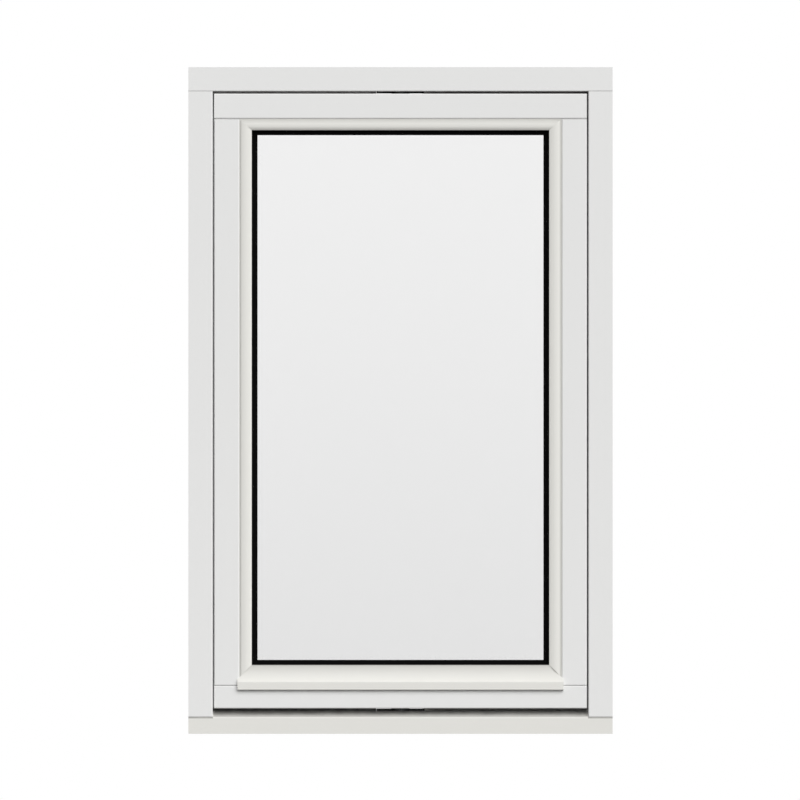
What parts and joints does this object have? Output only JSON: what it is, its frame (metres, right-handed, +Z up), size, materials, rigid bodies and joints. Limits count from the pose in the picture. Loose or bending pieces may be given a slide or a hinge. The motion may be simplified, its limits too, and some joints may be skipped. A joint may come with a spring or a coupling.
{
  "type": "vertical pivot window",
  "caption": "White painted timber window: a glazed sash turns on pivots in the head and sill, with moulded beads, a drip bead and a lever-driven rod lock.",
  "frame": {"origin": "middle of the sill's underside, half way through the frame's depth", "axes": "+X to the right seen from outside, -Y towards the outside, +Z up"},
  "size_m": [0.7, 0.1255, 1.1],
  "materials": {
    "painted_timber": "white paint, satin",
    "bare_timber": "bare beech",
    "clear_glass": "clear float",
    "black_rubber": "matt",
    "edge_sealant": "matt",
    "zinc_steel": "zinc plated",
    "bronze": "plain bearing bronze",
    "white_plastic": "matt",
    "black_plastic": "matt",
    "satin_aluminium": "satin anodised"
  },
  "bodies": {
    "frame": {"frame_head": "painted_timber", "frame_sill": "painted_timber", "frame_jamb_left": "painted_timber", "frame_jamb_right": "painted_timber", "frame_corner_screws": "zinc_steel", "fixing_sleeves": "zinc_steel", "fixing_caps": "white_plastic", "jamb_strip_right": "black_rubber", "head_strip_right": "black_rubber", "sill_strip_right": "black_rubber", "jamb_strip_left": "black_rubber", "head_strip_left": "black_rubber", "sill_strip_left": "black_rubber", "upper_pivot_plate": "zinc_steel", "upper_pivot_bush": "bronze", "upper_pivot_seal": "black_rubber", "lower_pivot_plate": "zinc_steel", "lower_pivot_bush": "bronze", "lower_pivot_seal": "black_rubber", "pivot_plate_screws": "zinc_steel", "upper_bolt_keep": "zinc_steel", "lower_bolt_keep": "zinc_steel", "keep_screws": "zinc_steel"},
    "sash": {"sash_top_rail": "painted_timber", "sash_bottom_rail": "painted_timber", "sash_stile_left": "painted_timber", "sash_stile_right": "painted_timber", "sash_corner_dowels": "bare_timber", "outer_pane": "clear_glass", "inner_pane": "clear_glass", "edge_seal": "edge_sealant", "spacer_bar": "black_plastic", "setting_blocks": "black_plastic", "inner_glazing_tape": "black_rubber", "outer_glazing_gasket": "black_rubber", "glazing_bead_left": "painted_timber", "glazing_bead_right": "painted_timber", "glazing_bead_top": "painted_timber", "glazing_bead_bottom": "painted_timber", "upper_spigot_plate": "zinc_steel", "lower_spigot_plate": "zinc_steel", "upper_thrust_washer": "black_plastic", "lower_thrust_washer": "black_plastic", "spigot_plate_screws": "zinc_steel", "gearbox_case": "zinc_steel", "gearbox_lid": "zinc_steel", "lock_faceplate": "zinc_steel", "faceplate_screws": "zinc_steel", "handle_rosette": "satin_aluminium", "rosette_screws": "zinc_steel"},
    "handle": {"handle_lever": "satin_aluminium", "handle_spindle": "zinc_steel", "drive_pinion": "zinc_steel"},
    "upper_rod": {"upper_rod": "zinc_steel"},
    "lower_rod": {"lower_rod": "zinc_steel"}
  },
  "joints": [
    {"name": "sash_pivot", "type": "hinge", "parent": "frame", "child": "sash", "pos_m": [0, -0.0185, 0.55], "axis": [0, 0, -1], "range_deg": [0, 90]},
    {"name": "handle_turn", "type": "hinge", "parent": "sash", "child": "handle", "pos_m": [0.2704, 0.0135, 0.54], "axis": [0, -1, 0], "range_deg": [0, 180]},
    {"name": "upper_bolt", "type": "slide", "parent": "sash", "child": "upper_rod", "axis": [0, 0, 1], "range_m": [0, 0.0283]},
    {"name": "lower_bolt", "type": "slide", "parent": "sash", "child": "lower_rod", "axis": [0, 0, -1], "range_m": [0, 0.0283]}
  ],
  "couplings": [
    {"joint": "upper_bolt", "follows": "handle_turn", "m_per_rad": 0.009},
    {"joint": "lower_bolt", "follows": "handle_turn", "m_per_rad": 0.009}
  ]
}
